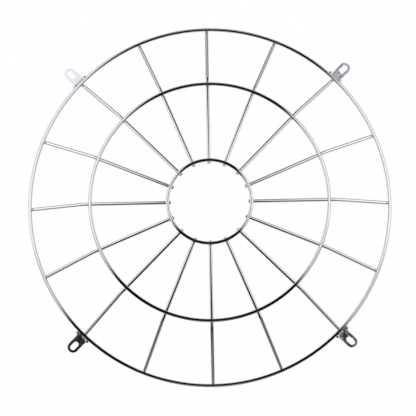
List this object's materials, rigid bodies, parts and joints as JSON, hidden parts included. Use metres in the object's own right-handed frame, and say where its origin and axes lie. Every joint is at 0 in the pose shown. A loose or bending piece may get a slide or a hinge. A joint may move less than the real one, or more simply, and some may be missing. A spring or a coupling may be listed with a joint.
{
  "type": "bulb cage guard",
  "caption": "Round welded wire guard with a flat raised crown, concentric rings, bent radial wires and slotted screw tabs, fixed over the front of a lamp to protect it.",
  "frame": {"origin": "centre of the guard on its mounting plane, level with the undersides of the four tabs", "axes": "+Z along the guard's axis, from the mounting plane out through the crown; +X and +Y each through the middle of a mounting tab"},
  "size_m": [0.3994, 0.3994, 0.0377],
  "materials": {
    "ring_wire": "bright, smooth",
    "radial_wire": "bright, smooth",
    "tab_plate": "bright, smooth"
  },
  "bodies": {
    "root": {"outer_ring": "ring_wire", "middle_ring": "ring_wire", "inner_ring": "ring_wire", "radial_wire_01": "radial_wire", "radial_wire_02": "radial_wire", "radial_wire_03": "radial_wire", "radial_wire_04": "radial_wire", "radial_wire_05": "radial_wire", "radial_wire_06": "radial_wire", "radial_wire_07": "radial_wire", "radial_wire_08": "radial_wire", "radial_wire_09": "radial_wire", "radial_wire_10": "radial_wire", "radial_wire_11": "radial_wire", "radial_wire_12": "radial_wire", "radial_wire_13": "radial_wire", "radial_wire_14": "radial_wire", "radial_wire_15": "radial_wire", "radial_wire_16": "radial_wire", "mounting_tab_1": "tab_plate", "mounting_tab_2": "tab_plate", "mounting_tab_3": "tab_plate", "mounting_tab_4": "tab_plate"}
  },
  "joints": []
}
